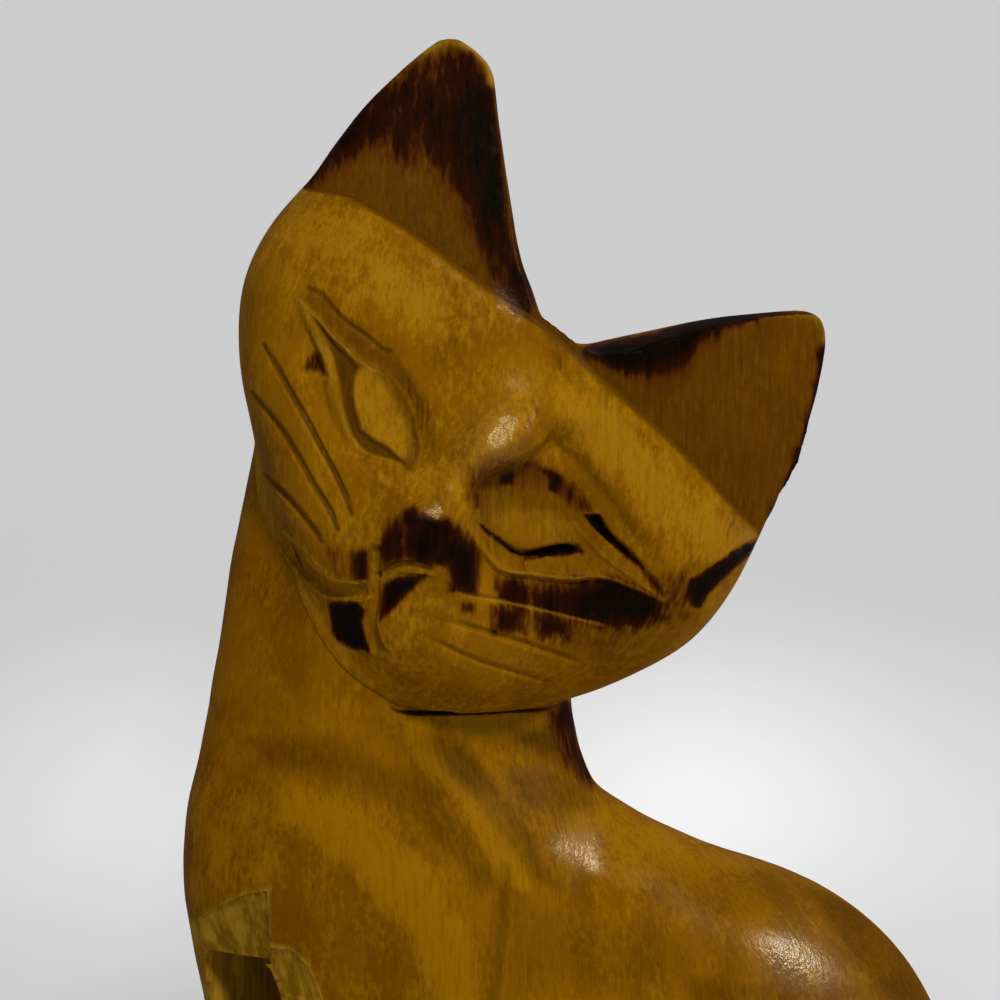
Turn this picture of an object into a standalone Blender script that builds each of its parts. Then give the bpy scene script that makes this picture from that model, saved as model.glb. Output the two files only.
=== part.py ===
"""Carved wooden cat: a body block, a head block and the hidden peg that joins them.

Metres, +Z up. The cat stands on z = 0 and faces -Y, and its left side is +X.
The head is carved from its own block. It sits on a slanted saw cut across the neck,
turned and tilted towards the cat's left, and a glued wooden peg crosses the cut.
"""

from math import cos, exp, pi, radians, sin

import bmesh
import bpy
from mathutils import Matrix, Vector

# Fit and carving
GAP = 0.0003                    # between faces that touch
HEAD_GRAIN_STEP = 0.0016        # size of the cuts that shape the head
BODY_GRAIN_STEP = 0.0022        # size of the cuts that shape the body
RING_POINTS = 40                # points round each section
FACE_POINTS = 120               # points round each section of the face

# Neck and the saw cut across it
CUT_HEIGHT = 0.1112             # height of the cut on the neck's middle line
CUT_TILT = radians(45)          # the cut faces up and towards the cat's left
NECK_Y = -0.0345                # middle of the neck, front to back
NECK_HALF_WIDTH = 0.0200
NECK_HALF_DEPTH = 0.0262
NECK_POWER = 3.0                # roundness of the neck, 2 is an ellipse
CHEST_HEIGHT = 0.0660
CHEST_HALF_WIDTH = 0.0262
CHEST_HALF_DEPTH = 0.0314        # from the neck's middle to the breast
CHEST_POWER = 2.1
NAPE_FLARE = 0.0040             # how far the nape spreads back into the withers

# Peg
PEG_RADIUS = 0.0050
PEG_LENGTH = 0.0340
PEG_BEVEL = 0.0008
PEG_SHIFT = 0.0050              # from the neck's middle towards the low side of the cut

# Head, in its own frame: x to the viewer's right, -y out of the face, z up
HEAD_TURN = radians(50)         # from the way the body faces towards its left
HEAD_TILT = radians(38.5)       # ears lean over towards the cat's left
HEAD_LIFT = 0.0249              # from the cut to the middle of the head, square to the cut
HEAD_SLIP = -0.0040             # along the slope of the cut, downhill
HEAD_REAR = 0.0088              # towards the tail
CHEEK_LEFT = 0.0442
CHEEK_RIGHT = 0.0412
FACE_DROP = 0.0415              # from the eye line down to the chin
BROW_RISE = 0.0150              # from the eye line up to the brow edge
CROWN_RISE = 0.0145             # up to the dip between the ears
EAR_RISE = 0.0404
FACE_FRONT = 0.0255
FACE_POWER = 2.25               # roundness of the face, 2 is an ellipse
HEAD_BACK = 0.0300
EAR_FRONT = 0.0108              # the cut back fronts of the ears at the brow
EAR_LEAN = 0.0030               # how much further back they are at the tips
EAR_SWEEP = 0.0095              # and at their outer edges
NOSE_RISE = 0.0062              # of the nose tip out of the dome of the face
NOSE_HALF_WIDTH = 0.0052
EYE_SINK = 0.0022               # depth of the hollows round the eyes

# Trunk
BACK_HEIGHT = 0.0600            # top of the back over the haunches
WITHERS_HEIGHT = 0.0790         # top of the back just behind the neck
RUMP_Y = 0.0650                 # rear end
HAUNCH_Y = 0.0220
HAUNCH_HALF_WIDTH = 0.0385
THIGH_HALF_LENGTH = 0.0330
THIGH_HEIGHT = 0.0500

# Legs, paws and tail
LEG_GAP = 0.0150                # between the front legs
LEG_GAP_HEIGHT = 0.0580
LEG_GAP_DEPTH = 0.0230          # from the chest's front inwards
PAW_WIDTH = 0.0180
PAW_LENGTH = 0.0280
PAW_HEIGHT = 0.0135
HIND_FOOT_LENGTH = 0.0400
HIND_FOOT_HALF_WIDTH = 0.0090
HIND_FOOT_HEIGHT = 0.0130
TAIL_RADIUS = 0.0070
TAIL_TIP_RADIUS = 0.0048
SINK = 0.0040                   # how far forms reach below the sawn base before it is cut


def through(rows, t):
    """Row of a smooth curve through rows, at t from 0 to 1."""
    place = t * (len(rows) - 1)
    i = min(int(place), len(rows) - 2)
    f = place - i
    a, b, c, d = (rows[min(max(k, 0), len(rows) - 1)] for k in (i - 1, i, i + 1, i + 2))
    return [
        q + 0.5 * f * (r - p + f * (2 * p - 5 * q + 4 * r - s + f * (3 * (q - r) + s - p)))
        for p, q, r, s in zip(a, b, c, d)
    ]


def signed_power(value, power):
    return (abs(value) ** power) * (1 if value >= 0 else -1)


def oval(low_u, high_u, low_v, high_v, power, middle_v=None, count=RING_POINTS):
    """Points round a rounded oval that fills a box in u and v, widest at middle_v."""
    mid_u = (low_u + high_u) / 2
    half_u = (high_u - low_u) / 2
    mid_v = (low_v + high_v) / 2 if middle_v is None else middle_v
    points = []
    for k in range(count):
        angle = 2 * pi * k / count
        u = mid_u + half_u * signed_power(cos(angle), 2 / power)
        reach = (high_v if sin(angle) >= 0 else low_v) - mid_v
        points.append((u, mid_v + reach * abs(sin(angle)) ** (2 / power)))
    return points


def add_loft(bm, rings):
    """A closed skin over rings of equal counts."""
    loops = [[bm.verts.new(point) for point in ring] for ring in rings]
    for low, high in zip(loops, loops[1:]):
        for k in range(len(low)):
            n = (k + 1) % len(low)
            bm.faces.new((low[k], low[n], high[n], high[k]))
    bm.faces.new(list(reversed(loops[0])))
    bm.faces.new(loops[-1])


def add_ball(bm, centre, radii):
    place = Matrix.Translation(centre) @ Matrix.Diagonal((*radii, 1.0))
    bmesh.ops.create_uvsphere(bm, u_segments=32, v_segments=20, radius=1.0, matrix=place)


def add_tube(bm, path, steps):
    """A round tube through rows of x, y, z and radius, with a rounded far end."""
    rows = [through(path, k / steps) for k in range(steps + 1)]
    rings = []
    for k, (x, y, z, radius) in enumerate(rows):
        ahead = Vector(rows[min(k + 1, steps)][:3]) - Vector(rows[max(k - 1, 0)][:3])
        side = ahead.cross(Vector((0, 0, 1))).normalized()
        up = side.cross(ahead).normalized()
        ring = []
        for m in range(RING_POINTS // 2):
            angle = 4 * pi * m / RING_POINTS
            ring.append(Vector((x, y, z)) + radius * (cos(angle) * up + sin(angle) * side))
        rings.append(ring)
    add_loft(bm, rings)
    add_ball(bm, rows[-1][:3], [rows[-1][3]] * 3)


def new_object(name, bm):
    bmesh.ops.recalc_face_normals(bm, faces=bm.faces)
    mesh = bpy.data.meshes.new(name)
    bm.to_mesh(mesh)
    bm.free()
    made = bpy.data.objects.new(name, mesh)
    bpy.context.scene.collection.objects.link(made)
    return made


def wood(name, colour, roughness):
    made = bpy.data.materials.new(name)
    made.use_nodes = True
    shader = made.node_tree.nodes["Principled BSDF"]
    shader.inputs["Base Color"].default_value = (*colour, 1.0)
    shader.inputs["Roughness"].default_value = roughness
    shader.inputs["Metallic"].default_value = 0.0
    return made


def blend(block, step, passes, keep):
    """Merge overlapping forms into one carved skin with soft inner corners."""
    merge = block.modifiers.new("merge", "REMESH")
    merge.mode = "VOXEL"
    merge.voxel_size = step
    soften = block.modifiers.new("soften", "SMOOTH")
    soften.factor = 0.5
    soften.iterations = passes
    lighten = block.modifiers.new("lighten", "DECIMATE")
    lighten.ratio = keep


def cut(block, cutter):
    """Take the cutter's shape out of the block."""
    cutter.hide_render = True
    cutter.display_type = "WIRE"
    carve = block.modifiers.new(cutter.name, "BOOLEAN")
    carve.operation = "DIFFERENCE"
    carve.solver = "EXACT"
    carve.object = cutter


def box_cutter(name, low, high, place=Matrix.Identity(4)):
    bm = bmesh.new()
    size = [h - l for l, h in zip(low, high)]
    middle = [(l + h) / 2 for l, h in zip(low, high)]
    shape = place @ Matrix.Translation(middle) @ Matrix.Diagonal((*size, 1.0))
    bmesh.ops.create_cube(bm, size=1.0, matrix=shape)
    return new_object(name, bm)


def peg_hole(name, place):
    """A bore that clears the peg all round and at both ends."""
    bm = bmesh.new()
    bmesh.ops.create_cone(
        bm, cap_ends=True, segments=32, radius1=PEG_RADIUS + GAP, radius2=PEG_RADIUS + GAP,
        depth=PEG_LENGTH + 2 * GAP, matrix=place)
    return new_object(name, bm)


def neck_rings(low, high, count):
    """Sections of the neck and chest column between two heights."""
    top = CUT_HEIGHT + NECK_HALF_WIDTH
    hollow = (CHEST_HEIGHT + CUT_HEIGHT) / 2
    chest, breast = CHEST_HALF_WIDTH, CHEST_HALF_DEPTH
    neck, throat = NECK_HALF_WIDTH, NECK_HALF_DEPTH
    rows = [
        # height, half width, chest side, nape side, roundness
        (0.0, 0.92 * chest, 0.80 * breast, 0.80 * breast, CHEST_POWER),
        (0.33 * CHEST_HEIGHT, 0.94 * chest, 0.80 * breast, breast, CHEST_POWER),
        (0.66 * CHEST_HEIGHT, 0.97 * chest, 0.85 * breast, breast, CHEST_POWER),
        (CHEST_HEIGHT, chest, breast, breast + NAPE_FLARE, CHEST_POWER),
        (hollow, neck, throat, throat + 0.25 * NAPE_FLARE, NECK_POWER),
        (CUT_HEIGHT, 0.98 * neck, 0.80 * throat, 1.01 * throat, NECK_POWER),
        (top, 0.90 * neck, 0.60 * throat, 1.02 * throat, NECK_POWER),
    ]
    table = [through(rows, k / 60) for k in range(61)]
    rings = []
    for k in range(count + 1):
        z = low + (high - low) * k / count
        _, half_x, front, back, power = min(table, key=lambda row: abs(row[0] - z))
        flat = oval(-half_x, half_x, NECK_Y - front, NECK_Y + back, power, middle_v=NECK_Y)
        rings.append([Vector((u, v, z)) for u, v in flat])
    return rings


# The frames of the cut and of the head
cut_normal = Vector((sin(CUT_TILT), 0, cos(CUT_TILT)))
cut_downhill = Vector((cos(CUT_TILT), 0, -sin(CUT_TILT)))
cut_middle = Vector((0, NECK_Y + 0.0015, CUT_HEIGHT))
cut_frame = Matrix.Translation(cut_middle) @ Matrix.Rotation(CUT_TILT, 4, "Y")
head_middle = cut_middle + HEAD_LIFT * cut_normal + HEAD_SLIP * cut_downhill + Vector((0, HEAD_REAR, 0))
head_frame = (
    Matrix.Translation(head_middle)
    @ Matrix.Rotation(HEAD_TURN, 4, "Z")
    @ Matrix.Rotation(HEAD_TILT, 4, "Y")
)
peg_frame = cut_frame @ Matrix.Translation((PEG_SHIFT, 0, 0))


def head_ring(z, left, right, front, back, power, count=RING_POINTS):
    """A level section of the head, with the depths given out of the face."""
    flat = oval(left, right, -front, -back, power, middle_v=0.002, count=count)
    return [Vector((u, v, z)) for u, v in flat]


def face_relief(x, z):
    """How far the nose, muzzle and chin stand out of the dome, and the eyes sink into it."""
    forms = [
        # across, height, half width, half height, rise
        (0.02, 0.00, 1.10 * NOSE_HALF_WIDTH, 0.17 * FACE_DROP, 0.50 * NOSE_RISE),
        (0.00, -0.20, 1.00 * NOSE_HALF_WIDTH, 0.17 * FACE_DROP, 0.55 * NOSE_RISE),
        (-0.01, -0.39, 1.15 * NOSE_HALF_WIDTH, 0.12 * FACE_DROP, 0.85 * NOSE_RISE),
        (-0.18, -0.60, 0.24 * CHEEK_LEFT, 0.20 * FACE_DROP, 0.34 * NOSE_RISE),
        (0.19, -0.60, 0.24 * CHEEK_LEFT, 0.20 * FACE_DROP, 0.34 * NOSE_RISE),
        (0.06, -0.84, 0.20 * CHEEK_LEFT, 0.12 * FACE_DROP, 0.30 * NOSE_RISE),
        (-0.34, -0.17, 0.22 * CHEEK_LEFT, 0.20 * FACE_DROP, -EYE_SINK),
        (0.28, -0.17, 0.20 * CHEEK_LEFT, 0.20 * FACE_DROP, -EYE_SINK),
    ]
    return sum(
        rise * exp(-((x - CHEEK_LEFT * u) / wide) ** 2 - ((z - FACE_DROP * v) / tall) ** 2)
        for u, v, wide, tall, rise in forms
    )


def add_face(bm):
    """The face block, from the chin up to the dip between the ears."""
    rows = [
        # height, left, right, front, back, each as a share of its named size
        (-0.99, 0.16, 0.28, 0.52, 0.02),
        (-0.96, 0.02, 0.38, 0.68, 0.20),
        (-0.89, -0.12, 0.50, 0.83, 0.42),
        (-0.81, -0.27, 0.60, 0.91, 0.58),
        (-0.70, -0.485, 0.71, 0.96, 0.74),
        (-0.56, -0.645, 0.815, 0.985, 0.87),
        (-0.41, -0.81, 0.90, 1.00, 0.95),
        (-0.20, -0.955, 0.985, 1.00, 1.00),
        (0.02, -1.008, 0.99, 0.98, 0.98),
        (0.25, -0.997, 0.942, 0.93, 0.84),
        (0.32, -0.980, 0.925, 0.895, 0.70),
    ]
    rings = []
    steps = 4 * (len(rows) - 1)
    for k in range(steps + 1):
        z, left, right, front, back = through(rows, k / steps)
        ring = head_ring(
            FACE_DROP * z,
            CHEEK_LEFT * left if left < 0 else CHEEK_RIGHT * left,
            CHEEK_RIGHT * right, FACE_FRONT * front, -HEAD_BACK * back, FACE_POWER, FACE_POINTS)
        for point in ring:
            if point.y < 0:
                share = min(1.0, -2 * point.y / FACE_FRONT)
                point.y -= share * face_relief(point.x, point.z)
        rings.append(ring)
    last = rings[-1]
    middle = sum(last, Vector()) / len(last)
    for share, lift in ((0.93, 0.97), (0.72, 1.0)):
        z = last[0].z + (CROWN_RISE - last[0].z) * lift
        rings.append([
            Vector((middle.x + (p.x - middle.x) * share, middle.y + (p.y - middle.y) * share, z))
            for p in last
        ])
    add_loft(bm, rings)


def ear_depth(x, z):
    """How far in front of the head's middle the cut back fronts of the ears lie."""
    out = min(abs(x) / CHEEK_LEFT, 1.2)
    lean = EAR_LEAN * (z - BROW_RISE) / (EAR_RISE - BROW_RISE)
    return EAR_FRONT - EAR_SWEEP * out ** 1.6 - lean


def add_brow(bm):
    """Extra wood over the brow, which the ear cut trims to a crisp edge."""
    rings = []
    for rise, share in ((0.3, 0.90), (0.7, 0.97), (1.0, 1.0), (1.7, 1.0)):
        z = rise * BROW_RISE
        flat = oval(-0.985 * CHEEK_LEFT * share, 0.930 * CHEEK_RIGHT * share, -0.905 * FACE_FRONT * share,
                    0.2 * HEAD_BACK, FACE_POWER, middle_v=0.002, count=FACE_POINTS)
        rings.append([Vector((u, min(v, -ear_depth(u, z) - 0.9 * HEAD_GRAIN_STEP), z)) for u, v in flat])
    add_loft(bm, rings)


def add_ears(bm):
    """Both ears, thick at the root and rounded at the tips."""
    left_ear = [
        # height as a share of EAR_RISE, outer and inner edge, front and back
        (0.12, -0.965, -0.170, 1.20, -0.73),
        (0.28, -0.995, -0.120, 1.35, -0.60),
        (0.40, -1.010, -0.160, 1.35, -0.50),
        (0.48, -1.015, -0.285, 1.35, -0.44),
        (0.65, -0.998, -0.460, 1.30, -0.34),
        (0.84, -0.970, -0.645, 1.10, -0.22),
        (0.935, -0.945, -0.730, 0.85, -0.17),
        (0.97, -0.912, -0.780, 0.60, -0.10),
    ]
    right_ear = [
        (0.12, 0.080, 0.930, 1.20, -0.73),
        (0.28, 0.030, 0.918, 1.35, -0.60),
        (0.40, 0.054, 0.893, 1.35, -0.50),
        (0.49, 0.120, 0.876, 1.35, -0.44),
        (0.61, 0.215, 0.845, 1.30, -0.36),
        (0.75, 0.330, 0.793, 1.20, -0.27),
        (0.89, 0.470, 0.722, 1.00, -0.20),
        (0.965, 0.550, 0.672, 0.85, -0.16),
        (0.995, 0.590, 0.632, 0.60, -0.10),
    ]
    for ear, cheek in ((left_ear, CHEEK_LEFT), (right_ear, CHEEK_RIGHT)):
        rings = []
        steps = 3 * (len(ear) - 1)
        for k in range(steps + 1):
            z, left, right, front, back = through(ear, k / steps)
            depth = EAR_FRONT if front > 0 else HEAD_BACK
            rings.append(head_ring(
                EAR_RISE * z, cheek * left, cheek * right, depth * front, HEAD_BACK * back, 2.6))
        add_loft(bm, rings)


def ear_cutter():
    """A wedge in front of the ears, whose lower face is the brow edge."""
    brow_line = [
        # across, height as a share of BROW_RISE
        (-1.30, 0.60), (-0.97, 0.72), (-0.88, 0.81), (-0.68, 0.88), (-0.38, 0.92), (0.0, 0.99),
        (0.25, 0.96), (0.50, 0.93), (0.70, 0.86), (0.86, 0.78), (0.95, 0.72), (1.30, 0.60),
    ]
    top = 1.3 * EAR_RISE
    front = 2 * FACE_FRONT
    bm = bmesh.new()
    rings = []
    for k in range(34):
        u, v = through(brow_line, k / 33)
        x, low = CHEEK_LEFT * u, BROW_RISE * v
        rings.append([
            Vector((x, -front, low)), Vector((x, -ear_depth(x, low), low)),
            Vector((x, -ear_depth(x, top), top)), Vector((x, -front, top)),
        ])
    add_loft(bm, rings)
    made = new_object("ear_cut", bm)
    made.matrix_world = head_frame
    return made


def make_head():
    bm = bmesh.new()
    add_face(bm)
    add_brow(bm)
    add_ears(bm)
    to_head = head_frame.inverted()
    column = neck_rings(CUT_HEIGHT - 2.2 * NECK_HALF_WIDTH, CUT_HEIGHT + 0.85 * NECK_HALF_WIDTH, 16)
    add_loft(bm, [[to_head @ point for point in ring] for ring in column])
    made = new_object("head", bm)
    made.matrix_world = head_frame
    blend(made, HEAD_GRAIN_STEP, 5, 0.34)
    cut(made, ear_cutter())
    reach = 4 * CHEEK_LEFT
    cut(made, box_cutter("head_saw_cut", (-reach, -reach, -reach), (reach, reach, GAP / 2), cut_frame))
    cut(made, peg_hole("head_peg_hole", peg_frame))
    made.data.materials.append(wood("head_wood", (0.205, 0.095, 0.006), 0.28))
    return made


def add_trunk(bm):
    """The body from the chest to the rump, as sections that stand across it."""
    rows = [
        # place along y, half width, top
        (NECK_Y - 0.30 * NECK_HALF_DEPTH, 0.56 * HAUNCH_HALF_WIDTH, 0.60 * WITHERS_HEIGHT),
        (NECK_Y - 0.05 * NECK_HALF_DEPTH, 0.70 * HAUNCH_HALF_WIDTH, 0.80 * WITHERS_HEIGHT),
        (NECK_Y + 0.25 * NECK_HALF_DEPTH, 0.77 * HAUNCH_HALF_WIDTH, 0.91 * WITHERS_HEIGHT),
        (NECK_Y + NECK_HALF_DEPTH, 0.86 * HAUNCH_HALF_WIDTH, WITHERS_HEIGHT),
        (0.30 * HAUNCH_Y, 0.93 * HAUNCH_HALF_WIDTH, 0.5 * (WITHERS_HEIGHT + BACK_HEIGHT) + 0.0025),
        (HAUNCH_Y, HAUNCH_HALF_WIDTH, 1.085 * BACK_HEIGHT),
        (0.60 * RUMP_Y, 0.97 * HAUNCH_HALF_WIDTH, 0.985 * BACK_HEIGHT),
        (0.78 * RUMP_Y, 0.84 * HAUNCH_HALF_WIDTH, 0.86 * BACK_HEIGHT),
        (0.90 * RUMP_Y, 0.66 * HAUNCH_HALF_WIDTH, 0.70 * BACK_HEIGHT),
        (0.97 * RUMP_Y, 0.45 * HAUNCH_HALF_WIDTH, 0.54 * BACK_HEIGHT),
        (1.00 * RUMP_Y, 0.26 * HAUNCH_HALF_WIDTH, 0.42 * BACK_HEIGHT),
    ]
    rings = []
    steps = 3 * (len(rows) - 1)
    for k in range(steps + 1):
        y, half, top = through(rows, k / steps)
        flat = oval(-half, half, -SINK, top, 2.4, middle_v=0.36 * top)
        rings.append([Vector((u, y, v)) for u, v in flat])
    add_loft(bm, rings)


def add_legs(bm):
    """Thighs and paws. The front legs are the chest column on either side of the leg gap."""
    leg_x = (LEG_GAP + PAW_WIDTH) / 2
    for side in (-1, 1):
        add_ball(bm, (side * 0.55 * HAUNCH_HALF_WIDTH, HAUNCH_Y + 0.004, 0.46 * THIGH_HEIGHT),
                 (0.52 * HAUNCH_HALF_WIDTH, THIGH_HALF_LENGTH, 0.54 * THIGH_HEIGHT))
        add_ball(bm, (side * leg_x, NECK_Y - 0.80 * CHEST_HALF_DEPTH, 0.22 * PAW_HEIGHT),
                 (0.54 * PAW_WIDTH, 0.5 * PAW_LENGTH, 0.80 * PAW_HEIGHT))
        hind_x = side * (HAUNCH_HALF_WIDTH - 0.6 * HIND_FOOT_HALF_WIDTH)
        add_ball(bm, (hind_x, HAUNCH_Y - THIGH_HALF_LENGTH, 0.20 * HIND_FOOT_HEIGHT),
                 (HIND_FOOT_HALF_WIDTH, 0.5 * HIND_FOOT_LENGTH, 0.82 * HIND_FOOT_HEIGHT))


def add_tail(bm):
    """The tail lies round the cat's left side, on the ground."""
    side = HAUNCH_HALF_WIDTH + 0.15 * TAIL_RADIUS
    height = 0.92 * TAIL_RADIUS
    path = [
        (-0.10 * side, 0.90 * RUMP_Y, 1.5 * TAIL_RADIUS, 1.1 * TAIL_RADIUS),
        (0.30 * side, 0.96 * RUMP_Y, height, 1.05 * TAIL_RADIUS),
        (0.74 * side, 0.76 * RUMP_Y, height, TAIL_RADIUS),
        (0.98 * side, 0.42 * RUMP_Y, height, TAIL_RADIUS),
        (1.03 * side, 0.05 * RUMP_Y, height, 0.96 * TAIL_RADIUS),
        (0.99 * side, -0.28 * RUMP_Y, height, 0.88 * TAIL_RADIUS),
        (0.84 * side, -0.52 * RUMP_Y, TAIL_TIP_RADIUS, TAIL_TIP_RADIUS),
    ]
    add_tube(bm, path, 36)


def make_body():
    bm = bmesh.new()
    add_loft(bm, neck_rings(-SINK, CUT_HEIGHT + 1.5 * NECK_HALF_WIDTH, 40))
    add_trunk(bm)
    add_legs(bm)
    add_tail(bm)
    made = new_object("body", bm)
    blend(made, BODY_GRAIN_STEP, 6, 0.28)
    reach = 4 * RUMP_Y
    cut(made, box_cutter("base_saw_cut", (-reach, -reach, -reach), (reach, reach, 0)))
    cut(made, box_cutter("neck_saw_cut", (-reach, -reach, -GAP / 2), (reach, reach, reach), cut_frame))
    gap_back = NECK_Y - CHEST_HALF_DEPTH + LEG_GAP_DEPTH
    half_gap = LEG_GAP / 2
    cut(made, box_cutter("leg_gap", (-half_gap, -reach, -reach), (half_gap, gap_back, LEG_GAP_HEIGHT)))
    cut(made, peg_hole("neck_peg_hole", peg_frame))
    made.data.materials.append(wood("body_wood", (0.180, 0.068, 0.004), 0.30))
    return made


def make_peg():
    bm = bmesh.new()
    bmesh.ops.create_cone(
        bm, cap_ends=True, segments=32, radius1=PEG_RADIUS, radius2=PEG_RADIUS, depth=PEG_LENGTH)
    rims = [edge for edge in bm.edges if abs(edge.verts[0].co.z - edge.verts[1].co.z) < GAP]
    bmesh.ops.bevel(bm, geom=rims, offset=PEG_BEVEL, segments=1, affect="EDGES")
    made = new_object("neck_peg", bm)
    made.matrix_world = peg_frame
    made.data.materials.append(wood("peg_wood", (0.45, 0.28, 0.12), 0.6))
    made.data.shade_smooth()
    made.data.set_sharp_from_angle(angle=radians(30))
    return made


def main():
    for old in list(bpy.data.objects):
        bpy.data.objects.remove(old, do_unlink=True)
    make_body()
    make_head()
    make_peg()


main()
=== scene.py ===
from math import cos, pi, radians, sin

import bpy
import numpy as np
from mathutils import Matrix, Vector


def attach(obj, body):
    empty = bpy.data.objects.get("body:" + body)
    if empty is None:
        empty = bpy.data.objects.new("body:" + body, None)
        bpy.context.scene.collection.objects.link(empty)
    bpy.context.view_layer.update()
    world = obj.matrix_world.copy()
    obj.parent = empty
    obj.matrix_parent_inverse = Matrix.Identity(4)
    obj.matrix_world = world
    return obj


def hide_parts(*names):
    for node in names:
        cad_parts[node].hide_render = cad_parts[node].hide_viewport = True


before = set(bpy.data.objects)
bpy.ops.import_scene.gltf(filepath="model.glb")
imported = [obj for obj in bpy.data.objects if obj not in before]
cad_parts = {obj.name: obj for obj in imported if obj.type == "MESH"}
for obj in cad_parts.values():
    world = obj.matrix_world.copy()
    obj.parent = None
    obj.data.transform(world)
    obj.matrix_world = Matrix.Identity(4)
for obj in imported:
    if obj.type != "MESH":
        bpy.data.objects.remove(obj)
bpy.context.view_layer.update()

mm = 0.001

# The camera, and the picture that it takes: 1000 pixels square, with y downwards
camera = {
    "azimuth": 50, "elevation": 5.5, "distance": 0.7,
    "sensor": 36, "framed": 0.142857,          # metres across the picture at the aim
    "aside": -10 * mm, "outward": 35 * mm, "height": 121.4 * mm, "pixels": 1000,
}
turn, lift = radians(camera["azimuth"]), radians(camera["elevation"])
sideways = Vector((cos(turn), sin(turn), 0))
outward = Vector((sin(turn), -cos(turn), 0))
toCamera = outward * cos(lift) + Vector((0, 0, sin(lift)))
upward = toCamera.cross(sideways)
aim = sideways * camera["aside"] + outward * camera["outward"] + Vector((0, 0, camera["height"]))
cameraPlace = aim + toCamera * camera["distance"]
pixel = camera["framed"] / camera["pixels"]   # metres to a pixel at the aim


def placeCamera():
    bpy.ops.object.camera_add(location=cameraPlace, rotation=(pi / 2 - lift, 0, turn))
    eye = bpy.context.object
    eye.name = "pictureCamera"
    eye.data.sensor_width = camera["sensor"]
    eye.data.lens = camera["sensor"] * camera["distance"] / camera["framed"]
    bpy.context.scene.camera = eye
    print("camera: placed", camera["distance"], "m from its aim")


def onPicture(points):                         # pixels where points in space show
    away = points - np.array(cameraPlace)
    zoom = camera["distance"] / pixel / -(away @ np.array(toCamera))
    middle = camera["pixels"] / 2
    return np.column_stack((middle + zoom * (away @ np.array(sideways)),
                            middle - zoom * (away @ np.array(upward))))


def rayThrough(x, y):                          # the way from the camera through a pixel
    middle = camera["pixels"] / 2
    spot = aim + sideways * (x - middle) * pixel - upward * (y - middle) * pixel
    return (spot - cameraPlace).normalized()


# Working with meshes

def select(*pieces):
    bpy.ops.object.select_all(action="DESELECT")
    for piece in pieces:
        piece.select_set(True)
    bpy.context.view_layer.objects.active = pieces[0]


def finishModifier(piece, kind, **settings):
    select(piece)
    bpy.ops.object.modifier_add(type=kind)
    modifier = piece.modifiers[-1]
    for name, value in settings.items():
        setattr(modifier, name, value)
    bpy.ops.object.modifier_apply(modifier=modifier.name)


def copyNode(node, name):                      # a mended copy of a CAD node's mesh
    piece = bpy.data.objects.new(name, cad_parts[node].data.copy())
    bpy.context.scene.collection.objects.link(piece)
    select(piece)
    bpy.ops.object.mode_set(mode="EDIT")
    bpy.ops.mesh.select_all(action="SELECT")
    bpy.ops.mesh.remove_doubles(threshold=0.01 * mm)
    bpy.ops.object.mode_set(mode="OBJECT")
    return piece


def readVectors(items, field):
    flat = np.empty(len(items) * 3, np.float32)
    items.foreach_get(field, flat)
    return flat.reshape(-1, 3).astype(float)


def pointsOf(piece):
    return readVectors(piece.data.vertices, "co")


def normalsOf(piece):
    return readVectors(piece.data.vertex_normals, "vector")


def movePoints(piece, points):
    piece.data.vertices.foreach_set("co", points.astype(np.float32).ravel())
    piece.data.update()


def editFaces(piece, chosen):                  # enters edit mode with these faces selected
    select(piece)
    mesh = piece.data
    mesh.vertices.foreach_set("select", np.zeros(len(mesh.vertices), bool))
    mesh.edges.foreach_set("select", np.zeros(len(mesh.edges), bool))
    mesh.polygons.foreach_set("select", chosen)
    bpy.context.tool_settings.mesh_select_mode = (False, False, True)
    bpy.ops.object.mode_set(mode="EDIT")


def refine(piece, wanted, cuts=1):             # cuts the faces finer where wanted(centres, normals)
    chosen = wanted(readVectors(piece.data.polygons, "center"), readVectors(piece.data.polygons, "normal"))
    editFaces(piece, chosen)
    if cuts > 1:
        bpy.ops.mesh.quads_convert_to_tris()
    bpy.ops.mesh.subdivide(number_cuts=cuts, ngon=False)
    bpy.ops.object.mode_set(mode="OBJECT")


def relax(piece, rounds, share=1.0, spring=0.0):   # evens the skin; a spring of about 0.53 keeps its size
    points = pointsOf(piece)
    flat = np.empty(len(piece.data.edges) * 2, np.int32)
    piece.data.edges.foreach_get("vertices", flat)
    ends = np.concatenate((flat[0::2], flat[1::2]))
    others = np.concatenate((flat[1::2], flat[0::2]))
    count = np.bincount(ends, minlength=len(points))[:, None]
    share = np.broadcast_to(np.asarray(share, float), len(points))[:, None]
    for push in [0.5, -spring] * rounds if spring else [0.5] * rounds:
        total = np.column_stack([
            np.bincount(ends, weights=points[others, axis], minlength=len(points)) for axis in range(3)])
        points += push * share * (total / count - points)
    movePoints(piece, points)


def carveAway(piece, cutter):                  # takes the cutter's shape out of the piece
    finishModifier(piece, "BOOLEAN", operation="DIFFERENCE", solver="EXACT", object=cutter)
    bpy.data.objects.remove(cutter)


def keepLargest(piece):                        # drops the crumbs that cuts leave loose
    name = piece.name
    select(piece)
    bpy.ops.object.mode_set(mode="EDIT")
    bpy.ops.mesh.select_all(action="SELECT")
    bpy.ops.mesh.separate(type="LOOSE")
    bpy.ops.object.mode_set(mode="OBJECT")
    *crumbs, kept = sorted(bpy.context.selected_objects, key=lambda bit: len(bit.data.vertices))
    for crumb in crumbs:
        bpy.data.objects.remove(crumb)
    kept.name = name
    print(name + ": loose crumbs dropped", len(crumbs))
    return kept


def setMask(piece, name, values):
    mask = piece.data.attributes.new(name, "FLOAT", "POINT")
    mask.data.foreach_set("value", np.clip(values, 0, 1).astype(np.float32))


# Paths and outlines on the picture

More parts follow.
